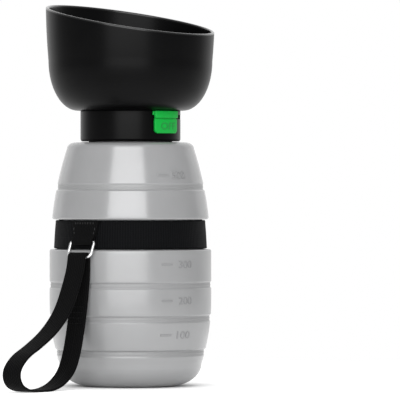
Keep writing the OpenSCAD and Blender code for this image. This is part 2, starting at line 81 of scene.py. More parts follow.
class Wire:
    def __init__(self, finish, socket):
        self.finish = finish
        self.socket = socket

    def sum(self, operation, first, second=None):
        sockets = {0: first} if second is None else {0: first, 1: second}
        return self.finish.node("Math", {"operation": operation}, sockets)

    def __add__(self, other):
        return self.sum("ADD", self, other)

    def __radd__(self, other):
        return self.sum("ADD", other, self)

    def __sub__(self, other):
        return self.sum("SUBTRACT", self, other)

    def __rsub__(self, other):
        return self.sum("SUBTRACT", other, self)

    def __mul__(self, other):
        return self.sum("MULTIPLY", self, other)

    def __rmul__(self, other):
        return self.sum("MULTIPLY", other, self)

    def __pow__(self, other):
        return self.sum("POWER", self, other)

    def __rpow__(self, other):
        return self.sum("POWER", other, self)

    def cosine(self):
        return self.sum("COSINE", self)

    def sine(self):
        return self.sum("SINE", self)

    def floor(self):
        return self.sum("FLOOR", self)

    def fraction(self):
        return self.sum("FRACT", self)

    def absolute(self):
        return self.sum("ABSOLUTE", self)


class Finish:
    def __init__(self, owner):
        owner.use_nodes = True
        self.owner = owner
        self.tree = owner.node_tree

    # Adds a node of a type, with its settings first and then the values or links of its sockets
    def node(self, kind, settings=None, sockets=None, out=0):
        made = self.tree.nodes.new("ShaderNode" + kind)
        for name, value in (settings or {}).items():
            setattr(made, name, value)
        self.feed(made, sockets or {})
        return Wire(self, made.outputs[out])

    def feed(self, made, sockets):
        for name, value in sockets.items():
            socket = made.inputs[name]
            if isinstance(value, Wire):
                self.tree.links.new(value.socket, socket)
            elif socket.type == "RGBA":
                socket.default_value = (*value, 1)
            else:
                socket.default_value = value

    def shader(self, sockets):
        self.feed(self.tree.nodes["Principled BSDF"], sockets)

    def pair(self, operation, first, second):
        return self.node("Math", {"operation": operation}, {0: first, 1: second})

    def here(self):
        return self.node("TexCoord", out=3)

    def axes(self, vector):
        made = self.node("SeparateXYZ", sockets={0: vector})
        return [Wire(self, socket) for socket in made.socket.node.outputs]

    def noise(self, scale, detail=3, roughness=0.5, vector=None):
        place = vector or self.here()
        sockets = {"Vector": place, "Scale": scale, "Detail": detail, "Roughness": roughness}
        return self.node("TexNoise", sockets=sockets)

    def blendColour(self, factor, first, second):
        return self.node("Mix", {"data_type": "RGBA"}, {0: factor, 6: first, 7: second}, 2)

    # A value moved from one range to another, held at both ends
    def spread(self, value, low, high, first, second):
        sockets = {"Value": value, "From Min": low, "From Max": high, "To Min": first, "To Max": second}
        return self.node("MapRange", sockets=sockets)

    def bump(self, height, depth, strength=1.0, normal=None):
        sockets = {"Strength": strength, "Distance": depth * mm, "Height": height}
        if normal:
            sockets["Normal"] = normal
        return self.node("Bump", sockets=sockets)


def newFinish(name):
    return Finish(bpy.data.materials.new(name))


# Soft moulded plastic: faint cloudiness, a fine grain and slow roughness changes
def moulded(name, dark, light, rough, look, grain=0.012, grainScale=2600):
    made = newFinish(name)
    cloud = made.noise(45, 4)
    wide = made.noise(14, 2)
    made.shader({
        "Base Color": made.blendColour(made.spread(cloud, 0.35, 0.65, 0, 1), dark, light),
        "Roughness": made.spread(wide, 0.3, 0.7, rough - 0.03, rough + 0.04),
        "Normal": made.bump(made.noise(grainScale, 2), grain),
        **look,
    })
    return made.owner


markPlastic = moulded("mark_plastic", (0.262, 0.264, 0.268), (0.288, 0.29, 0.294), 0.3,
                      {"Metallic": 0.1, "Coat Weight": 0.2, "Coat Roughness": 0.15}, 0.004, 1900)
headPlastic = moulded("head_plastic", (0.0011, 0.0011, 0.0012), (0.0019, 0.0019, 0.0021), 0.31,
                      {"Specular IOR Level": 0.094})
switchPlastic = moulded("switch_plastic", (0.003, 0.37, 0.043), (0.006, 0.41, 0.053), 0.36,
                        {"Specular IOR Level": 0.2})
letterPlastic = moulded("letter_plastic", (0.003, 0.2, 0.03), (0.005, 0.23, 0.038), 0.45, {})
plateProperties = {"Coat Weight": 0.1, "Coat Roughness": 0.3}
platePlastic = moulded("plate_plastic", (0.55, 0.56, 0.57), (0.6, 0.61, 0.62), 0.4, plateProperties)
paleRubber = moulded("pale_rubber", (0.6, 0.61, 0.6), (0.68, 0.69, 0.68), 0.5,
                     {"Subsurface Weight": 0.1, "Subsurface Scale": 0.002})
darkRubber = moulded("dark_rubber", (0.015, 0.015, 0.016), (0.024, 0.024, 0.025), 0.6, {})


# Bright nickel wire with fine drawing lines
def drawnWire(name, colour, rough):
    made = newFinish(name)
    worn = made.noise(900, 5, 0.7)
    made.shader({
        "Base Color": made.blendColour(made.spread(worn, 0.4, 0.75, 0, 1), colour,
                                       [c * 0.8 for c in colour]),
        "Metallic": 1.0,
        "Roughness": made.spread(worn, 0.3, 0.7, rough, rough + 0.14),
        "Normal": made.bump(worn, 0.01),
    })
    return made.owner


ringWire = drawnWire("ring_wire", (0.83, 0.83, 0.84), 0.14)
screwSteel = drawnWire("screw_steel", (0.6, 0.61, 0.63), 0.25)


# Woven strap: its map is in millimetres along (x) and across (y)
def woven(name, dark, light, acrossPitch, alongPitch, depth):
    made = newFinish(name)
    along, across, _ = made.axes(made.node("TexCoord", out=2))
    fray = made.noise(350, 3, 0.6)
    cord = across * (1 / acrossPitch) + fray * 0.1
    row = along * (1 / alongPitch) + cord.floor() * 0.5 + fray * 0.12
    ridge = (cord * math.tau).cosine() * -0.5 + 0.5
    pick = (row * math.tau).cosine() * 0.5 + 0.5
    height = ridge * (pick * 0.5 + 0.5)
    fuzz = made.noise(5200, 2)
    made.shader({
        "Base Color": made.blendColour(made.spread(height, 0.1, 0.9, 0, 1), dark, light),
        "Roughness": made.spread(height, 0, 1, 0.85, 0.6),
        "Specular IOR Level": 0.06,
        "Sheen Weight": 0.015,
        "Sheen Roughness": 0.4,
        "Normal": made.bump(height + fuzz * 0.25, depth),
    })
    return made.owner


webbing = woven("webbing", (0.0014, 0.0014, 0.0015), (0.0046, 0.0046, 0.0049), 1.12, 1.5, 0.12)


# Knitted elastic: upright cords round the bottle, crossed by small chevrons
def elastic(name, cords):
    made = newFinish(name)
    x, y, z = made.axes(made.here())
    turn = made.pair("ARCTAN2", y, x) * (1 / math.tau)
    height = z * (1 / mm)
    place = turn * cords
    side = (place * 0.25).fraction() * 2 - 1
    slant = side.absolute() * 2.2
    stitch = ((height * 0.9 + slant) * math.tau).cosine() * 0.5 + 0.5
    cord = (place * math.tau).cosine() * 0.5 + 0.5
    lift = cord * 0.6 + stitch * 0.4
    fuzz = made.noise(4200, 2)
    made.shader({
        "Base Color": made.blendColour(made.spread(lift, 0.15, 0.95, 0, 1), (0.0013, 0.0014, 0.0017),
                                       (0.005, 0.0053, 0.0062)),
        "Roughness": made.spread(lift, 0, 1, 0.8, 0.6),
        "Specular IOR Level": 0.06,
        "Sheen Weight": 0.015,
        "Sheen Roughness": 0.4,
        "Normal": made.bump(lift + fuzz * 0.2, 0.16),
    })
    return made.owner


bandElastic = elastic("band_elastic", 184)


# Twisted sewing thread
def twisted(name, dark, light):
    made = newFinish(name)
    x, y, z = made.axes(made.here())
    strand = ((x + y + z) * (math.tau / (0.4 * mm))).sine() * 0.5 + 0.5
    made.shader({
        "Base Color": made.blendColour(strand, dark, light),
        "Roughness": made.spread(made.noise(3000), 0.3, 0.7, 0.5, 0.65),
        "Specular IOR Level": 0.08,
        "Sheen Weight": 0.02,
        "Normal": made.bump(strand, 0.06),
    })
    return made.owner


thread = twisted("thread", (0.02, 0.02, 0.021), (0.045, 0.045, 0.046))
seamThread = twisted("seam_thread", (0.003, 0.003, 0.0031), (0.007, 0.007, 0.0072))
print("finishes made")


# Shapes

# Turns (across, up, fillet) corners into a line whose corners are arcs
def roundCorners(corners, steps=6):
    line = []
    for i, corner in enumerate(corners):
        here = Vector(corner[:2])
        fillet = corner[2] if len(corner) > 2 else 0
        if not fillet or i in (0, len(corners) - 1):
            line.append(here)
            continue
        back = Vector(corners[i - 1][:2]) - here
        ahead = Vector(corners[i + 1][:2]) - here
        half = back.angle(ahead) / 2
        reach = min(fillet / math.tan(half), back.length * 0.49, ahead.length * 0.49)
        radius = reach * math.tan(half)
        centre = here + (back.normalized() + ahead.normalized()).normalized() * (radius / math.sin(half))
        first = here + back.normalized() * reach - centre
        last = here + ahead.normalized() * reach - centre
        turn = math.atan2(first.cross(last), first.dot(last))
        line += [centre + Matrix.Rotation(turn * k / steps, 2) @ first for k in range(steps + 1)]
    return line


# Spins a line round the upright axis; a closed line makes a ring
def spinLine(bm, line, closed=True, steps=roundSteps):
    verts = [bm.verts.new((point[0], 0, point[1])) for point in line]
    edges = [bm.edges.new(pair) for pair in zip(verts, verts[1:])]
    if closed:
        edges.append(bm.edges.new((verts[-1], verts[0])))
    bmesh.ops.spin(bm, geom=verts + edges, cent=(0, 0, 0), axis=(0, 0, 1), angle=math.tau, steps=steps,
                   use_merge=True)
    bmesh.ops.remove_doubles(bm, verts=bm.verts, dist=1e-4)
    bmesh.ops.recalc_face_normals(bm, faces=bm.faces)


# Sweeps a closed section through stations of (point, across, out, across share)
# A closed path meets its own start
def sweep(bm, section, stations, closed=False):
    corner = bm.verts.layers.int.get("corner") or bm.verts.layers.int.new("corner")
    length = bm.verts.layers.float.get("length") or bm.verts.layers.float.new("length")
    ring = []
    for i, _ in enumerate(section):
        made = bm.verts.new((0, 0, 0))
        made[corner] = i
        ring.append(made)
    edges = [bm.edges.new((ring[i - 1], ring[i])) for i in range(len(ring))]
    start = list(edges)
    first = stations[0][0]
    run = 0
    before = first
    for k, (point, across, out, share) in enumerate(stations):
        if k:
            grown = bmesh.ops.extrude_edge_only(bm, edges=edges)["geom"]
            ring = [item for item in grown if isinstance(item, bmesh.types.BMVert)]
            corners = set(ring)
            edges = [item for item in grown if isinstance(item, bmesh.types.BMEdge)
                     and item.verts[0] in corners and item.verts[1] in corners]
        run += (point - before).length
        before = point
        for vert in ring:
            place = section[vert[corner]]
            vert.co = point + across * (place[0] * share) + out * place[1]
            vert[length] = run
    if closed:
        bmesh.ops.bridge_loops(bm, edges=start + edges)
    else:
        bmesh.ops.edgeloop_fill(bm, edges=start)
        bmesh.ops.edgeloop_fill(bm, edges=edges)
    bmesh.ops.recalc_face_normals(bm, faces=bm.faces)


# Lays a map along a swept strap, in millimetres along and round its section
def mapSweep(bm, section):
    corner = bm.verts.layers.int["corner"]
    length = bm.verts.layers.float["length"]
    uv = bm.loops.layers.uv.new("along")
    sides = [0]
    for i in range(len(section)):
        sides.append(sides[-1] + (Vector(section[(i + 1) % len(section)]) - Vector(section[i])).length)
    for face in bm.faces:
        corners = {loop.vert[corner] for loop in face.loops}
        wraps = 0 in corners and len(section) - 1 in corners
        for loop in face.loops:
            i = loop.vert[corner]
            i = len(section) if wraps and i == 0 else i
            loop[uv].uv = (loop.vert[length], sides[i])


# A flat closed section with rounded corners, wide across and thin out
def flatSection(width, thick, fillet, steps=3):
    w = width / 2
    t = thick / 2
    corners = [(0, -t), (w, -t, fillet), (w, t, fillet), (-w, t, fillet), (-w, -t, fillet), (0, -t)]
    return [(point.x, point.y) for point in roundCorners(corners, steps)[:-1]]


def roundSection(radius, steps=20):
    return [(radius * math.cos(math.tau * i / steps), radius * math.sin(math.tau * i / steps))
            for i in range(steps)]


# A smooth curve through points, closed where its first and last points are the same
def smoothLine(points, steps):
    made = []
    for i in range(len(points) - 1):
        b = points[i]
        c = points[i + 1]
        a = points[i - 1] if i else b * 2 - c
        d = points[i + 2] if i + 2 < len(points) else c * 2 - b
        for k in range(steps):
            t = k / steps
            made.append(0.5 * (b * 2 + (c - a) * t + (a * 2 - b * 5 + c * 4 - d) * t ** 2
                               + (b * 3 - a - c * 3 + d) * t ** 3))
    return made + [points[-1]]


# Bends a flat piece (x round, y up, z out) round the upright axis
def wrapRound(bm, azimuth, radiusAt, slices=1.0):
    low = min(vert.co.x for vert in bm.verts)
    high = max(vert.co.x for vert in bm.verts)
    for k in range(1, int((high - low) / slices) + 1):
        bmesh.ops.bisect_plane(bm, geom=bm.verts[:] + bm.edges[:] + bm.faces[:], dist=1e-5,
                               plane_co=(low + k * slices, 0, 0), plane_no=(1, 0, 0))
    for vert in bm.verts:
        x, y, z = vert.co
        radius = radiusAt(y)
        angle = math.radians(azimuth) + x / radius
        vert.co = ((radius + z) * math.cos(angle), (radius + z) * math.sin(angle), y)
    bmesh.ops.recalc_face_normals(bm, faces=bm.faces)


# Words as a solid lying flat, with its middle at the origin
def wordSolid(bm, words, height, thick, width=None):
    curve = bpy.data.curves.new("words", "FONT")
    curve.body = words
    curve.size = 10
    curve.align_x = "CENTER"
    curve.extrude = 1
    curve.resolution_u = 6
    holder = bpy.data.objects.new("words", curve)
    bpy.context.scene.collection.objects.link(holder)
    bpy.context.view_layer.update()
    mesh = bpy.data.meshes.new_from_object(holder)
    bpy.data.objects.remove(holder)
    made = bmesh.new()
    made.from_mesh(mesh)
    bpy.data.meshes.remove(mesh)
    low = Vector([min(vert.co[i] for vert in made.verts) for i in range(3)])
    high = Vector([max(vert.co[i] for vert in made.verts) for i in range(3)])
    size = high - low
    tall = height / size.y
    wide = width / size.x if width else tall
    bmesh.ops.translate(made, verts=made.verts, vec=-(low + high) / 2)
    bmesh.ops.scale(made, verts=made.verts, vec=(wide, tall, thick / size.z))
    holding = bpy.data.meshes.new("words")
    made.to_mesh(holding)
    made.free()
    bm.from_mesh(holding)
    bpy.data.meshes.remove(holding)


# Adds a box with its edges bevelled
def softBox(bm, low, high, edge, segments=3):
    made = bmesh.ops.create_cube(bm, size=1)["verts"]
    size = Vector(high) - Vector(low)
    bmesh.ops.scale(bm, verts=made, vec=size)
    bmesh.ops.translate(bm, verts=made, vec=(Vector(high) + Vector(low)) / 2)
    edges = list({item for vert in made for item in vert.link_edges})
    bmesh.ops.bevel(bm, geom=edges, offset=edge, segments=segments, profile=0.5, affect="EDGES",
                    material=-1)


# Makes the finished piece: metres, smooth between its sharp edges, riding on its body
def makePiece(name, bm, body, finish, replaced=(), sharp=32):
    bmesh.ops.scale(bm, verts=bm.verts, vec=(mm, mm, mm))
    mesh = bpy.data.meshes.new(name)
    bm.to_mesh(mesh)
    bm.free()
    mesh.materials.append(finish)
    mesh.polygons.foreach_set("use_smooth", [True] * len(mesh.polygons))
    mesh.set_sharp_from_angle(angle=math.radians(sharp))
    made = bpy.data.objects.new(name, mesh)
    bpy.context.scene.collection.objects.link(made)
    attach(made, body)
    if replaced:
        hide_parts(*replaced)
    return made


# Cuts a closed shape out of a piece
def cutOut(piece, bm):
    bmesh.ops.scale(bm, verts=bm.verts, vec=(mm, mm, mm))
    mesh = bpy.data.meshes.new("cutter")
    bm.to_mesh(mesh)
    bm.free()
    cutter = bpy.data.objects.new("cutter", mesh)
    bpy.context.scene.collection.objects.link(cutter)
    cut = piece.modifiers.new("cut", "BOOLEAN")
    cut.solver = "EXACT"
    cut.operation = "DIFFERENCE"
    cut.object = cutter
    cut.use_hole_tolerant = True
    bpy.context.view_layer.update()
    shaped = piece.evaluated_get(bpy.context.evaluated_depsgraph_get())
    old = piece.data
    piece.data = bpy.data.meshes.new_from_object(shaped)
    piece.modifiers.clear()
    piece.data.name = old.name + "_cut"
    bpy.data.meshes.remove(old)
    bpy.data.objects.remove(cutter)
    bpy.data.meshes.remove(mesh)
    piece.data.set_sharp_from_angle(angle=math.radians(32))


# Bottle

bottleLow, bottleHigh = nodeBox("bottle")
bandLow, bandHigh = nodeBox("grip_band")
collarLow, collarHigh = nodeBox("collar")
bottle = {
    "bodyR": bottleHigh.x,
    "sideR": bottleHigh.x - 5,      # where the foot's corner ends
    "footR": 21,
    "cornerH": 12,
    "drawInH": 33,
    "ledgeZ": bandLow.z - 0.5,
    "seatTop": bandHigh.z,
    "seatLowR": bottleHigh.x - 4,
    "seatHighR": bottleHigh.x - 5,
    "ledgeRound": 1.4,
    "shoulderR": bottleHigh.x - 1.4,
    "shoulderTopR": bottleHigh.x - 9,
    "shoulderTop": collarLow.z - 0.5,
    "shoulderBulge": 0.49,
    "topRound": (4.6, 3.4),
    "neckR": 21.6,
    "neckIn": 19.8,
    "neckTop": bottleHigh.z,
    "wall": 1.9,
    "floor": 1.9,
    "grooveHalf": 1.95,
    "grooveDepth": 0.6,
    "grooveSide": 0.8,
    "grooveRound": 0.5,
    "ribRise": 0.12,
    "lowGrooves": [0.25, 0.499, 0.741],   # shares of the ledge's height
    "shoulderGroove": 0.4203,
    "padR": 9,
    "footRingR": 16,
    "footRecess": 0.8,
}


# Radius of the bottle's side at a height
def sideAt(z):
    if z < bottle["cornerH"]:
        curve = math.sqrt(1 - (1 - z / bottle["cornerH"]) ** 2)
        return bottle["footR"] + (bottle["sideR"] - bottle["footR"]) * curve
    if z < bottle["cornerH"] + bottle["drawInH"]:
        share = 1 - (z - bottle["cornerH"]) / bottle["drawInH"]
        return bottle["bodyR"] - (bottle["bodyR"] - bottle["sideR"]) * share ** 2
    return bottle["bodyR"]


def shoulderAt(z):
    low = bottle["seatTop"] + bottle["ledgeRound"]
    t = (z - low) / (bottle["shoulderTop"] - bottle["topRound"][1] - low)
    bulge = bottle["shoulderBulge"]
    drawIn = bottle["shoulderR"] - bottle["shoulderTopR"]
    return bottle["shoulderR"] - drawIn * ((1 - bulge) * t + bulge * t * t)


def seatAt(z):
    share = (z - bottle["ledgeZ"]) / (bottle["seatTop"] - bottle["ledgeZ"])
    return bottle["seatLowR"] + (bottle["seatHighR"] - bottle["seatLowR"]) * share


lowGrooves = [share * bottle["ledgeZ"] for share in bottle["lowGrooves"]]
shoulderGroove = bottle["seatTop"] + bottle["shoulderGroove"] * (bottle["shoulderTop"] - bottle["seatTop"])


# Glossy on the shoulder, satin on the lower body, and dull in the grooves, whose colour is also darkened
# there as painted shade
def squeezed(name, dark, light):
    made = newFinish(name)
    z = made.axes(made.here())[2]
    grooveDullAndShade = 0
    for height in (*lowGrooves, shoulderGroove):
        away = (z * (1 / mm) - height).absolute()
        half = bottle["grooveHalf"]
        grooveDullAndShade = grooveDullAndShade + made.spread(away, half - 0.7, half - 0.2, 1, 0)
    cloud = made.spread(made.noise(45, 4), 0.35, 0.65, 0, 1)
    colour = made.blendColour(cloud, dark, light)
    satin = made.spread(z, 0.07, 0.09, 0.3, 0.22)
    wide = made.spread(made.noise(14, 2), 0.3, 0.7, -0.02, 0.02)
    made.shader({
        # painted shade: inside the grooves the colour is pulled towards a darker tone
        "Base Color": made.blendColour(grooveDullAndShade * 0.9, colour, [c * 0.9 for c in dark]),
        "Roughness": satin + wide + grooveDullAndShade * 0.22,
        "Metallic": 0.16,
        "Coat Weight": 0.3,
        "Coat Roughness": 0.12,
        "Normal": made.bump(made.noise(1900, 2), 0.004),
    })
    return made.owner


squeezePlastic = squeezed("squeeze_plastic", (0.318, 0.32, 0.324), (0.336, 0.338, 0.343))


# A moulded groove: rounded lips, sloping sides and a low rib along its floor
def grooveCorners(radiusAt, z):
    half = bottle["grooveHalf"]
    side = bottle["grooveSide"]
    soft = bottle["grooveRound"]
    deep = radiusAt(z) - bottle["grooveDepth"]
    rib = deep + bottle["ribRise"]
    return [
        (radiusAt(z - half), z - half, soft),
        (deep, z - half + side, soft),
        (deep, z - 0.55, 0.2),
        (rib, z - 0.3, 0.15),
        (rib, z + 0.3, 0.15),
        (deep, z + 0.55, 0.2),
        (deep, z + half - side, soft),
        (radiusAt(z + half), z + half, soft),
    ]


# Heights from low to high with gaps left for the grooves
def wallCorners(radiusAt, low, high, grooves, step=1.5):
    count = round((high - low) / step)
    heights = [low + (high - low) * i / count for i in range(count + 1)]
    clear = bottle["grooveHalf"] + 0.6
    corners = [(radiusAt(z), z) for z in heights if all(abs(z - g) > clear for g in grooves)]
    for g in grooves:
        corners += grooveCorners(radiusAt, g)
    return sorted(corners, key=lambda corner: corner[1])


def bottleCorners():
    b = bottle
    low = [(0, 0), (b["padR"], 0, 0.3), (b["padR"] + 0.4, b["footRecess"], 0.3),
           (b["footRingR"] - 0.4, b["footRecess"], 0.3), (b["footRingR"], 0, 0.3), (b["footR"], 0)]
    foot = []
    for i in range(1, 13):
        angle = math.radians(90 * i / 12)
        foot.append((b["footR"] + (b["sideR"] - b["footR"]) * math.sin(angle),
                     b["cornerH"] * (1 - math.cos(angle))))
    side = wallCorners(sideAt, b["cornerH"] + 1.5, b["ledgeZ"] - 2.2, lowGrooves)
    ledge = [(b["bodyR"], b["ledgeZ"], b["ledgeRound"]), (b["seatLowR"], b["ledgeZ"], 0.5),
             (b["seatHighR"], b["seatTop"], 0.5), (b["shoulderR"], b["seatTop"], b["ledgeRound"])]
    roundZ = b["shoulderTop"] - b["topRound"][1]
    shoulder = wallCorners(shoulderAt, b["seatTop"] + 2.2, roundZ, [shoulderGroove])
    top = []
    for i in range(1, 7):
        angle = math.radians(90 * i / 6)
        top.append((b["shoulderTopR"] - b["topRound"][0] * (1 - math.cos(angle)),
                    roundZ + b["topRound"][1] * math.sin(angle)))
    neck = [(b["neckR"], b["shoulderTop"], 0.6), (b["neckR"], b["neckTop"], 0.35),
            (b["neckIn"], b["neckTop"], 0.35), (b["neckIn"], b["shoulderTop"] - b["wall"], 0.8)]
    return low + foot + side + ledge + shoulder + top + neck


def bottleInside():
    b = bottle
    wall = b["wall"]
    z = b["shoulderTop"] - wall
    return [(b["shoulderTopR"] - b["topRound"][0] - 0.3, z), (b["shoulderTopR"] - wall, z - 2.4, 1),
            (b["shoulderR"] - wall, b["seatTop"] + 2), (b["seatHighR"] - wall, b["seatTop"] - 1, 0.6),
            (b["seatLowR"] - wall, b["ledgeZ"] - 2.6, 0.6), (b["bodyR"] - wall, b["ledgeZ"] - 4, 0.6),
            (b["bodyR"] - wall, 45), (b["bodyR"] - wall - 1.2, 28), (b["sideR"] - wall, 14),
            (b["sideR"] - wall - 3.2, 5.5), (b["footR"], b["floor"], 2), (0, b["floor"])]


def neckThread(bm, root, tip, fromAngle, fromZ, turns=1.25, pitch=4, rootHalf=0.9, tipHalf=0.5):
    section = [(-rootHalf, 0), (-tipHalf, 1), (tipHalf, 1), (rootHalf, 0)]
    count = round(turns * 48)
    stations = []
    for i in range(count + 1):
        angle = math.radians(fromAngle) + math.tau * i / 48
        share = max(0.08, min(1, i / 5, (count - i) / 5))
        out = Vector((math.cos(angle), math.sin(angle), 0))
        point = out * root + Vector((0, 0, fromZ + pitch * i / 48))
        stations.append((point, Vector((0, 0, 1)), out * (tip - root) * share, 1))
    sweep(bm, section, stations)


bm = bmesh.new()
spinLine(bm, roundCorners(bottleCorners() + bottleInside(), 5), closed=False)
threadLow = bottle["neckTop"] - 0.1 - 0.9 - 1.25 * 4
neckThread(bm, bottle["neckR"] - 0.2, bottle["neckR"] + 1.3, 0, threadLow)
makePiece("bottle_shell", bm, "bottle", squeezePlastic, ["bottle"])
print("bottle made")


# Volume marks: raised figures and a dash left of each

marks = {
    "rows": [("500", 110.0), ("300", 64.0), ("200", 45.3), ("100", 27.6)],
    "figureAzimuth": -47,
    "dashAzimuth": -62.5,
    "figureHeight": 3.9,
    "figureWidth": 8.8,
    "dash": (6.4, 1.1),
    "rise": 0.28,
    "sunk": 0.3,
}


def markRow(bm, words, z):
    solid = marks["rise"] + marks["sunk"]
    middle = (marks["rise"] - marks["sunk"]) / 2
    radiusAt = shoulderAt if z > bottle["seatTop"] else sideAt
    row = bmesh.new()
    wordSolid(row, words, marks["figureHeight"], solid, marks["figureWidth"])
    bmesh.ops.translate(row, verts=row.verts, vec=(0, z, middle))
    wrapRound(row, marks["figureAzimuth"], radiusAt)
    dash = bmesh.new()
    width, height = marks["dash"]
    low = (-width / 2, z - height / 2, -marks["sunk"])
    softBox(dash, low, (width / 2, z + height / 2, marks["rise"]), 0.15, 2)
    wrapRound(dash, marks["dashAzimuth"], radiusAt)
    for part in (row, dash):
        holder = bpy.data.meshes.new("row")
        part.to_mesh(holder)
        part.free()
        bm.from_mesh(holder)
        bpy.data.meshes.remove(holder)


bm = bmesh.new()
for words, z in marks["rows"]:
    markRow(bm, words, z)
makePiece("volume_marks", bm, "bottle", markPlastic)
print("volume marks made")


# Grip band

band = {"gap": 0.12, "thick": 1.7, "end": 0.4, "edge": 0.55}


def bandCorners():
    low = bottle["ledgeZ"] + band["end"]
    high = bottle["seatTop"] - band["end"]
    inner = band["gap"]
    outer = inner + band["thick"]
    corners = [(seatAt(low) + inner, low + 2), (seatAt(low) + inner, low, 0.3),
               (seatAt(low) + outer, low, band["edge"])]
    for i in range(1, 10):
        z = low + (high - low) * i / 10
        swell = 0.12 * math.sin(math.pi * i / 10)
        corners.append((seatAt(z) + outer + swell - 0.1, z))
    corners += [(seatAt(high) + outer, high, band["edge"]), (seatAt(high) + inner, high, 0.3),
                (seatAt(high) + inner, high - 2)]
    return corners


bm = bmesh.new()
spinLine(bm, roundCorners(bandCorners(), 4))
makePiece("band_sleeve", bm, "bottle", bandElastic, ["grip_band"])
print("grip band made")


# Ring: a straight bar in the tab, two arms and a rounded lower bar, leaning away from the bottle

ring = {
    "wire": 0.8,
    "width": 14.6,
    "height": 8.6,
    "lean": 24,
    "topRound": 1.3,
    "lowRound": 3,
    "barZ": bandLow.z - 0.5 + 4.3,
    "tabOut": 2.9,
    "loopIn": 0.88,
}
barR = seatAt(ring["barZ"]) + ring["tabOut"] + ring["loopIn"]
leanAngle = math.radians(ring["lean"])
bowR = barR + ring["height"] * math.sin(leanAngle)
bowZ = ring["barZ"] - ring["height"] * math.cos(leanAngle)
turnToRing = Matrix.Rotation(math.radians(ringAzimuth), 4, "Z")


def ringStations():
    half = ring["width"] / 2
    low = -ring["height"]
    corners = [(0, 0), (half, 0, ring["topRound"]), (half, low, ring["lowRound"]),
               (-half, low, ring["lowRound"]), (-half, 0, ring["topRound"]), (0, 0)]
    line = roundCorners(corners, 10)[:-1]
    place = turnToRing @ Matrix.Translation((barR, 0, ring["barZ"])) @ Matrix.Rotation(-leanAngle, 4, "Y")
    stations = []
    for i, point in enumerate(line):
        along = (line[(i + 1) % len(line)] - line[i - 1]).normalized()
        side = Vector((0, along.y, -along.x))
        stations.append((place @ Vector((0, point.x, point.y)), place.to_3x3() @ side,
                         place.to_3x3() @ Vector((1, 0, 0)), 1))
    return stations


bm = bmesh.new()
sweep(bm, roundSection(ring["wire"]), ringStations(), closed=True)
makePiece("wire_ring", bm, "ring", ringWire, ["d_ring"])
print("ring made")


# Tab: webbing that hangs over the band, goes round the ring's bar and back up behind itself

tab = {
    "thick": 0.8,
    "topWidth": 17,
    "foldWidth": 12.8,
    "topZ": bottle["seatTop"] - 0.6,
    "backOut": 2.25,
    "frontOut": 3.1,
    "lowOut": 3.25,
    "lowTop": 82,
    "loop": 1.28,
    "widenFrom": 76,
    "layFrom": 77,
    "layOver": 4,
}


def tabStations():
    line = [Vector((seatAt(z) + tab["backOut"], 0, z)) for z in (tab["topZ"] - 0.6, 82.5, 80)]
    bar = Vector((barR, 0, ring["barZ"]))
    for angle in range(150, 391, 20):
        turn = math.radians(angle)
        line.append(bar + Vector((math.cos(turn), 0, math.sin(turn))) * tab["loop"])
    line += [Vector((seatAt(z) + out, 0, z)) for z, out in
             ((78.5, 3.75), (80.7, tab["lowOut"]), (83, tab["frontOut"]), (tab["topZ"], tab["frontOut"]))]
    line = smoothLine(line, 4)
    stations = []
    for i, point in enumerate(line):
        along = (line[min(i + 1, len(line) - 1)] - line[max(i - 1, 0)]).normalized()
        out = Vector((along.z, 0, -along.x))
        share = min(1, max(0, (point.z - tab["widenFrom"]) / (tab["topZ"] - tab["widenFrom"])))
        width = tab["foldWidth"] + (tab["topWidth"] - tab["foldWidth"]) * share
        stations.append((point, Vector((0, 1, 0)), out, width / tab["topWidth"]))
    return stations


# Lets the tab lie round the band at its top while it stays straight at the ring's bar
def layOnBand(bm):
    for vert in bm.verts:
        x, y, z = vert.co
        hold = min(1, max(0, (z - tab["layFrom"]) / tab["layOver"]))
        angle = y / x * hold
        flat = y * (1 - hold)
        cosine, sine = math.cos(angle), math.sin(angle)
        vert.co = (x * cosine - flat * sine, x * sine + flat * cosine, z)
    bmesh.ops.transform(bm, matrix=turnToRing, verts=bm.verts)


bm = bmesh.new()
tabSection = flatSection(tab["topWidth"], tab["thick"], 0.3)
flat = []
for i, (x, y) in enumerate(tabSection):
    flat.append((x, y))
    nextX, nextY = tabSection[(i + 1) % len(tabSection)]
    if abs(nextX - x) > 4:
        flat += [(x + (nextX - x) * k / 8, y + (nextY - y) * k / 8) for k in range(1, 8)]
sweep(bm, flat, tabStations())
mapSweep(bm, flat)
layOnBand(bm)
makePiece("webbing_tab", bm, "bottle", webbing, ["ring_tab"], 50)
print("tab made")


# Stitches: short rounded threads, along the tab's top and down its sides

stitches = {
    "radius": 0.22,
    "length": 1.2,
    "top": 8,
    "gap": 1.6,
    "side": 3,
    "sideLength": 1.6,
    "sideInset": 1,
    "topZ": 85.2,
    "step": 2.3,
}


def stitch(bm, low, high, out, radius):
    across = (high - low).normalized()
    side = across.cross(out).normalized()
    stations = []
    for i in range(9):
        t = i / 8
        share = math.sqrt(max(0.02, 1 - (2 * t - 1) ** 4))
        rise = math.sin(math.pi * t) * radius * 0.9
        point = low + (high - low) * t + out * (rise - radius * 0.5)
        stations.append((point, side * share, out * share, 1))
    sweep(bm, roundSection(radius, 8), stations)


def tabStitches(bm):
    for i in range(stitches["top"]):
        y = (i - (stitches["top"] - 1) / 2) * stitches["gap"]
        tabStitch(bm, y, stitches["topZ"] - stitches["length"] / 2, stitches["length"])
    for side in (-1, 1):
        for i in range(1, stitches["side"] + 1):
            z = stitches["topZ"] - stitches["step"] * i - 0.6
            spread = (tab["topWidth"] - tab["foldWidth"]) / 2
            edge = tab["foldWidth"] / 2 + spread * (z - tab["widenFrom"]) / 10.8
            tabStitch(bm, side * (edge - stitches["sideInset"]), z - 0.8, stitches["sideLength"])


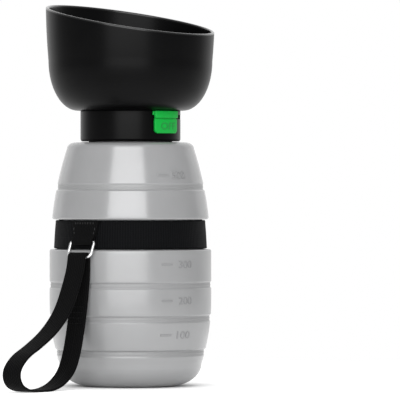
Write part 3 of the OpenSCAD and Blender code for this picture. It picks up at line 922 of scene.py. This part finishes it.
def tabStitch(bm, y, z, length):
    ends = []
    for height in (z, z + length):
        front = tab["frontOut"] if height > tab["lowTop"] else tab["lowOut"]
        r = seatAt(height) + (front + tab["thick"] / 2)
        angle = y / r
        ends.append(turnToRing @ Vector((r * math.cos(angle), r * math.sin(angle), height)))
    out = Vector((ends[0].x, ends[0].y, 0)).normalized()
    stitch(bm, ends[0], ends[1], out, stitches["radius"])


bm = bmesh.new()
tabStitches(bm)
makePiece("tab_stitches", bm, "bottle", thread, ["tab_stitching"], 60)


# Wrist strap: one loop of webbing over the ring's lower bar, down the front and back up behind

strap = {
    "width": 11.2,
    "thick": 1.1,
    "wrap": 1.85,
    "reach": 56.8,
    # shares of the reach outwards and of the drop downwards
    "route": [(0.06, 0.10), (0.12, 0.22), (0.21, 0.36), (0.32, 0.47), (0.48, 0.575), (0.68, 0.665),
              (0.86, 0.735), (0.97, 0.81), (1, 0.88), (0.955, 0.95), (0.84, 0.99), (0.68, 1), (0.5, 0.995),
              (0.34, 0.955), (0.2, 0.87), (0.115, 0.74), (0.05, 0.55), (0, 0.34), (-0.03, 0.15)],
}
strapDrop = bowZ - strap["thick"] / 2
strapPlace = turnToRing @ Matrix.Translation((bowR, 0, bowZ))


def strapLine():
    wrap = strap["wrap"]
    turns = [math.radians(a) for a in range(180, 0, -15)]
    over = [Vector((wrap * math.cos(turn), wrap * math.sin(turn))) for turn in turns]
    route = [Vector((x * strap["reach"], -y * strapDrop)) for x, y in strap["route"]]
    return over + smoothLine([Vector((wrap, 0)), *route, Vector((-wrap, 0))], 8)[:-1]


def strapStations(line):
    stations = []
    for i, point in enumerate(line):
        along = (line[(i + 1) % len(line)] - line[i - 1]).normalized()
        out = Vector((-along.y, 0, along.x))
        stations.append((strapPlace @ Vector((point.x, 0, point.y)), strapPlace.to_3x3() @ Vector((0, 1, 0)),
                         strapPlace.to_3x3() @ out, 1))
    return stations


bm = bmesh.new()
strapSection = flatSection(strap["width"], strap["thick"], 0.38, 4)
sweep(bm, strapSection, strapStations(strapLine()), closed=True)
mapSweep(bm, strapSection)
makePiece("strap_webbing", bm, "strap", webbing, ["wrist_strap"], 50)
print("strap made")


# The strap's seam: rows of thread across its back leg

seam = {"rows": 4, "share": 0.72, "points": (16, 17), "perRow": 5}


def strapSeam(bm):
    first, last = [Vector((strap["route"][i][0] * strap["reach"], -strap["route"][i][1] * strapDrop))
                   for i in seam["points"]]
    along = (last - first).normalized()
    outward = Vector((along.y, 0, -along.x))
    width = strap["width"] * seam["share"]
    for row in range(1, seam["rows"] + 1):
        middle = first + (last - first) * row / (seam["rows"] + 1)
        point = Vector((middle.x, 0, middle.y)) + outward * (strap["thick"] / 2 + 0.12)
        for i in range(seam["perRow"]):
            y = -width / 2 + width * (i + 0.1) / seam["perRow"]
            low = strapPlace @ (point + Vector((0, y, 0)))
            high = strapPlace @ (point + Vector((0, y + width * 0.8 / seam["perRow"], 0)))
            stitch(bm, low, high, strapPlace.to_3x3() @ outward, 0.2)


bm = bmesh.new()
strapSeam(bm)
makePiece("strap_seam", bm, "strap", seamThread, ["strap_stitching"], 60)


# Collar

collar = {
    "radius": 26.1,
    "bevel": (0.6, 1),
    "low": collarLow.z,
    "top": collarHigh.z,
    "deckZ": collarHigh.z - 2.2,
    "boreR": 23.3,
    "stemR": 3.6,
    "slotLow": collarHigh.z - 4.5,
    "slotHigh": collarHigh.z - 2.3,
    "slotTurn": 40,
    "lugHalf": 3.5,
    "lugRoom": 2.5,
    "bossLow": collarHigh.z - 5.2,
    "bossR": 2.1,
    "bossAt": 17.45,
    "bossAzimuths": [60, 160, -110],
}


def collarCorners():
    c = collar
    return [(c["boreR"], c["low"] + 3), (c["boreR"], c["low"], 0.3),
            (c["radius"] - c["bevel"][0], c["low"], 0.25),
            (c["radius"], c["low"] + c["bevel"][1], 0.7), (c["radius"], c["low"] + 8),
            (c["radius"], c["top"], 0.45), (c["stemR"] + 1.2, c["top"], 0.1),
            (c["stemR"] + 1.1, c["top"] - 1.1),
            (c["stemR"], c["top"] - 1.1), (c["stemR"], c["deckZ"], 0.1), (c["boreR"], c["deckZ"], 0.5)]


def slotCutter():
    c = collar
    bm = bmesh.new()
    inner = c["boreR"] - 1
    outer = c["radius"] + 1
    verts = [bm.verts.new((r, 0, z)) for r, z in ((inner, c["slotLow"]), (outer, c["slotLow"]),
                                                  (outer, c["slotHigh"]), (inner, c["slotHigh"]))]
    face = bm.faces.new(verts)
    half = math.degrees(math.asin(c["lugHalf"] / c["boreR"])) + c["lugRoom"]
    turn = Matrix.Rotation(math.radians(switchAzimuth - half), 3, "Z")
    bmesh.ops.rotate(bm, verts=bm.verts, cent=(0, 0, 0), matrix=turn)
    bmesh.ops.spin(bm, geom=[face, *face.edges, *face.verts], cent=(0, 0, 0), axis=(0, 0, 1),
                   angle=math.radians(c["slotTurn"] + 2 * half), steps=40)
    bmesh.ops.remove_doubles(bm, verts=bm.verts, dist=1e-5)
    bmesh.ops.recalc_face_normals(bm, faces=bm.faces)
    return bm


bm = bmesh.new()
spinLine(bm, roundCorners(collarCorners(), 5))
collarPiece = makePiece("head_collar", bm, "head", headPlastic, ["collar"])
cutOut(collarPiece, slotCutter())

bm = bmesh.new()
neckThread(bm, collar["boreR"] + 0.2, bottle["neckR"] + 0.4, -225, threadLow + 2 - 2.5)
bossMiddle = (collar["deckZ"] + collar["bossLow"]) / 2
for azimuth in collar["bossAzimuths"]:
    turn = Matrix.Rotation(math.radians(azimuth), 4, "Z")
    bmesh.ops.create_cone(bm, cap_ends=True, segments=32, radius1=collar["bossR"],
                          radius2=collar["bossR"], depth=collar["deckZ"] - collar["bossLow"],
                          matrix=turn @ Matrix.Translation((collar["bossAt"], 0, bossMiddle)))
makePiece("collar_inside", bm, "head", headPlastic)
print("collar made")


# Switch: a curved plate outside the collar with a finger ledge and a lug

switch = {
    "innerR": collar["radius"] + 0.3,
    "width": 15.2,
    "height": 11.7,
    "thick": 1.6,
    "top": collarHigh.z - 0.3,
    "corner": 2.1,
    "ledgeH": 3.8,
    "ledgeOut": 0.6,
    "split": 0.5,
    "word": "OFF",
    "wordHeight": 3.6,
    "wordWidth": 9.6,
}


def switchPlate(bm):
    s = switch
    w = s["width"] / 2
    low = s["top"] - s["height"]
    split = s["top"] - s["ledgeH"]
    edge = split - s["split"]
    outline = roundCorners([(0, edge), (w, edge, 0.3), (w, low, s["corner"]), (-w, low, s["corner"]),
                            (-w, edge, 0.3), (0, edge)], 8)[:-1]
    face = bm.faces.new([bm.verts.new((p.x, p.y, 0)) for p in outline])
    grown = bmesh.ops.extrude_face_region(bm, geom=[face])["geom"]
    top = [item for item in grown if isinstance(item, bmesh.types.BMVert)]
    bmesh.ops.translate(bm, verts=top, vec=(0, 0, s["thick"]))
    rim = [item for item in grown if isinstance(item, bmesh.types.BMEdge)]
    bmesh.ops.bevel(bm, geom=rim, offset=0.3, segments=3, profile=0.5, affect="EDGES", material=-1)
    softBox(bm, (-w, split, 0), (w, s["top"], s["thick"] + s["ledgeOut"]), 0.42)
    softBox(bm, (-w + 0.25, split - 1, 0), (w - 0.25, split + 0.6, s["thick"] - 0.55), 0.05, 1)
    softBox(bm, (-w - 0.9, s["top"] - 2.2, 0), (-w + 0.6, s["top"] - 0.2, s["thick"] * 0.6), 0.25)


bm = bmesh.new()
switchPlate(bm)
wrapRound(bm, switchAzimuth, lambda y: switch["innerR"], 0.8)
makePiece("switch_plate", bm, "valve", switchPlastic, ["valve_switch"])

bm = bmesh.new()
wordSolid(bm, switch["word"], switch["wordHeight"], 0.3, switch["wordWidth"])
wordZ = switch["top"] - switch["ledgeH"] - 4.1
bmesh.ops.translate(bm, verts=bm.verts, vec=(0.6, wordZ, switch["thick"] + 0.02))
wrapRound(bm, switchAzimuth, lambda y: switch["innerR"], 0.8)
makePiece("switch_word", bm, "valve", letterPlastic)
print("switch made")


# Bowl

bowl = {
    "base": collar["top"],
    "flatR": 27.5,
    "sideR": 42.8,
    "lean": 1.4,
    "cornerH": 26,
    "height": 47.7,
    "slant": 11,
    "wall": 2,
    "rim": 1.6,
    "floor": 2,
    "hole": 3.7,
}
bowlTopH = bowl["height"] + (bowl["sideR"] + bowl["lean"]) * math.tan(math.radians(bowl["slant"])) + 2


# Radius of the bowl's outside at a height above its corner
def bowlAt(z):
    share = (z - bowl["cornerH"]) / (bowlTopH - bowl["cornerH"])
    return bowl["sideR"] + bowl["lean"] * (1 - (1 - share) ** 2)


def bowlCorners():
    b = bowl
    outer = []
    for i in range(0, 17):
        angle = math.radians(90 * i / 16)
        outer.append((b["flatR"] + (b["sideR"] - b["flatR"]) * math.sin(angle),
                      b["cornerH"] * (1 - math.cos(angle))))
    inner = []
    for i in range(0, 17):
        angle = math.radians(90 * i / 16)
        inner.append((b["flatR"] + (b["sideR"] - b["flatR"] - b["wall"]) * math.sin(angle),
                      b["floor"] + (b["cornerH"] - b["floor"]) * (1 - math.cos(angle))))
    heights = [b["cornerH"] + (b["height"] - b["cornerH"]) * i / 12 for i in range(1, 12)]
    outerSide = [(bowlAt(z), z) for z in heights]
    innerSide = [(bowlAt(z) - b["wall"] + (b["wall"] - b["rim"]) * i / 11, z) for i, z in enumerate(heights)]
    rim = [(bowlAt(b["height"]), b["height"], b["rim"] * 0.45),
           (bowlAt(b["height"]) - b["rim"], b["height"], b["rim"] * 0.45)]
    return ([(b["hole"], 0, 0.2)] + outer + outerSide + rim + innerSide[::-1] + inner[::-1]
            + [(b["hole"], b["floor"], 0.2)])


# Leans the bowl's rim into its slanted plane, and lets the side follow
def slantRim(bm):
    b = bowl
    slope = math.tan(math.radians(b["slant"]))
    facing = Vector((math.cos(math.radians(rimAzimuth)), math.sin(math.radians(rimAzimuth))))
    for vert in bm.verts:
        x, y, z = vert.co
        share = min(1, max(0, (z - b["cornerH"]) / (b["height"] - 2 - b["cornerH"])))
        if not share:
            continue
        lift = -slope * Vector((x, y)).dot(facing) * share
        radius = math.hypot(x, y)
        grown = (radius + bowlAt(z + lift) - bowlAt(z)) / radius
        vert.co = (x * grown, y * grown, z + lift)


# Satin rubber, glossier on the rim's rounded top
def rubbery(name, dark, light):
    made = newFinish(name)
    x, y, z = made.axes(made.here())
    turn = math.radians(rimAzimuth)
    slope = math.tan(math.radians(bowl["slant"]))
    plane = z + x * (slope * math.cos(turn)) + y * (slope * math.sin(turn))
    onRim = made.spread(plane * (1 / mm) - (bowl["base"] + bowl["height"]), -1.1, -0.6, 0, 1)
    cloud = made.spread(made.noise(45, 4), 0.35, 0.65, 0, 1)
    made.shader({
        "Base Color": made.blendColour(cloud, dark, light),
        "Roughness": made.spread(made.noise(14, 2), 0.3, 0.7, 0.28, 0.34),
        "Specular IOR Level": 0.094,
        "Coat Weight": onRim,
        "Coat Roughness": 0.22,
        "Normal": made.bump(made.noise(2600, 2), 0.01),
    })
    return made.owner


bowlRubber = rubbery("bowl_rubber", (0.0011, 0.0011, 0.0012), (0.0019, 0.0019, 0.0021))

bm = bmesh.new()
spinLine(bm, roundCorners(bowlCorners(), 6))
slantRim(bm)
bmesh.ops.translate(bm, verts=bm.verts, vec=(0, 0, bowl["base"]))
makePiece("drinking_bowl", bm, "bowl", bowlRubber, ["bowl"], 40)
print("bowl made")


# Outlet in the bowl's floor: a low domed head on a hollow stem, over a soft washer

spoutLow, spoutHigh = nodeBox("outlet_spout")
outlet = {
    "headR": 6,
    "headH": 2,
    "stemR": 3.4,
    "waterR": 2.2,
    "windowW": 2.6,
    "galleryZ": collarHigh.z - 3.25,
}


def outletCorners():
    o = outlet
    top = spoutHigh.z
    low = spoutLow.z
    return [(o["waterR"], o["galleryZ"] + 2), (o["waterR"], top, 0.3), (3.4, top - 0.05, 0.2),
            (5.1, top - 0.3, 1.2), (o["headR"], top - 1.1, 0.5), (o["headR"], top - o["headH"], 0.2),
            (o["stemR"], top - o["headH"], 0.1),
            (o["stemR"], low, 0.3), (0, low), (0, o["galleryZ"]), (o["waterR"], o["galleryZ"])]


bm = bmesh.new()
outletLine = roundCorners(outletCorners(), 4) + [Vector((outlet["waterR"], outlet["galleryZ"] + 2))]
spinLine(bm, outletLine, closed=False, steps=96)
outletPiece = makePiece("outlet_head", bm, "head", headPlastic, ["outlet_spout"])
bm = bmesh.new()
for turn in (45, 135):
    box = bmesh.ops.create_cube(bm, size=1)["verts"]
    bmesh.ops.scale(bm, verts=box, vec=(2 * outlet["stemR"] + 2, outlet["windowW"], 1.05))
    raised = Matrix.Translation((0, 0, outlet["galleryZ"] + 0.525))
    place = Matrix.Rotation(math.radians(turn), 4, "Z") @ raised
    bmesh.ops.transform(bm, verts=box, matrix=place)
cutOut(outletPiece, bm)

washerLow, washerHigh = nodeBox("spout_washer")
bm = bmesh.new()
washerR = washerHigh.x
spinLine(bm, roundCorners([(3.45, washerLow.z + 0.3), (3.45, washerLow.z), (washerR, washerLow.z, 0.2),
                           (washerR, washerHigh.z, 0.2), (3.45, washerHigh.z)], 3), steps=96)
makePiece("outlet_washer", bm, "head", paleRubber, ["spout_washer"])
print("outlet made")


# Finishes of the CAD nodes that stay

nodeFinishes = {
    "neck_gasket": paleRubber,
    "port_plate": platePlastic,
    "valve_seal": paleRubber,
    "plate_screws": screwSteel,
    "stem_oring": darkRubber,
    "stem_gasket": darkRubber,
    "spout_nut": headPlastic,
    "valve_rotor": switchPlastic,
    "rotor_oring": darkRubber,
}
for name, finish in nodeFinishes.items():
    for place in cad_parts[name].material_slots:
        place.material = finish


# Studio

studio = {
    "floorR": 1.35,
    "floorClear": (0.16, 0.34),   # where the floor's shadow fades into white
    "floorGlow": 0.5,
    # painted contact shadow: under the bottle the floor's glow is held back
    "floorPaintedShadow": (0.022, 0.06),   # under the bottle the floor gives no light
    "keyPlace": (-0.09, -1.4, 0.74),
    "keySize": (1.52, 1.5),
    "keyRadiance": 3.2,
    "topPlace": (0, -0.1, 1.7),
    "topSize": (1.4, 1.4),
    "topRadiance": 1.2,
    "fill": 0.42,
    "back": 0.95,
}


# One for the rays of the kinds named
def raysOf(made, *kinds):
    ray = made.node("LightPath").socket.node.outputs
    found = [Wire(made, ray["Is " + kind + " Ray"]) for kind in kinds]
    total = found[0]
    for wire in found[1:]:
        total = made.pair("MAXIMUM", total, wire)
    return total


def makeFloor():
    bm = bmesh.new()
    bmesh.ops.create_circle(bm, cap_ends=True, segments=96, radius=studio["floorR"])
    mesh = bpy.data.meshes.new("floor")
    bm.to_mesh(mesh)
    bm.free()
    made = bpy.data.objects.new("floor", mesh)
    bpy.context.scene.collection.objects.link(made)
    paint = newFinish("floor_paint")
    x, y, _ = paint.axes(paint.here())
    away = (x * x + y * y) ** 0.5
    near, far = studio["floorClear"]
    shows = raysOf(paint, "Camera", "Glossy", "Transmission")
    half = studio["floorGlow"]
    # the glow's first part is a painted contact shadow, held to nothing under the bottle
    glow = paint.spread(away, *studio["floorPaintedShadow"], 0, half) + paint.spread(away, near, far, 0, 1 - half)
    body = paint.node("BsdfDiffuse", sockets={"Color": (0.9, 0.9, 0.9)})
    light = paint.node("Emission", sockets={"Strength": glow * shows})
    both = paint.node("AddShader", sockets={0: body, 1: light})
    white = paint.node("Emission", sockets={"Strength": shows})
    fade = paint.spread(away, near, far, 0, 1) * shows
    mixed = paint.node("MixShader", sockets={0: fade, 1: both, 2: white})
    end = paint.tree.nodes["Material Output"]
    paint.tree.nodes.remove(paint.tree.nodes["Principled BSDF"])
    paint.feed(end, {"Surface": mixed})
    mesh.materials.append(paint.owner)


def makeWorld():
    sky = Finish(bpy.data.worlds.new("studio"))
    bpy.context.scene.world = sky.owner
    _, y, _ = sky.axes(sky.node("TexCoord", out=0))
    behind = sky.spread(y, 0.42, 0.62, 0, 1)
    level = behind * (studio["back"] - studio["fill"]) + studio["fill"]
    shows = sky.pair("MAXIMUM", raysOf(sky, "Camera", "Transmission"), raysOf(sky, "Glossy") * behind)
    strength = sky.pair("MAXIMUM", shows, level)
    sky.feed(sky.tree.nodes["Background"], {"Color": (1, 1, 1), "Strength": strength})


def makeLamp(name, place, aim, size, radiance):
    data = bpy.data.lights.new(name, "AREA")
    data.shape = "RECTANGLE"
    data.size = size[0]
    data.size_y = size[1]
    data.energy = radiance * math.pi * size[0] * size[1]
    made = bpy.data.objects.new(name, data)
    made.location = place
    made.rotation_euler = (Vector(aim) - Vector(place)).to_track_quat("-Z", "Y").to_euler()
    made.visible_camera = False
    bpy.context.scene.collection.objects.link(made)


makeFloor()
makeWorld()
key = Vector(studio["keyPlace"])
makeLamp("key", key, (0, 0, key.z), studio["keySize"], studio["keyRadiance"])
makeLamp("top", studio["topPlace"], (0, 0, 0), studio["topSize"], studio["topRadiance"])
bpy.context.scene.view_settings.view_transform = "Standard"
print("studio made")
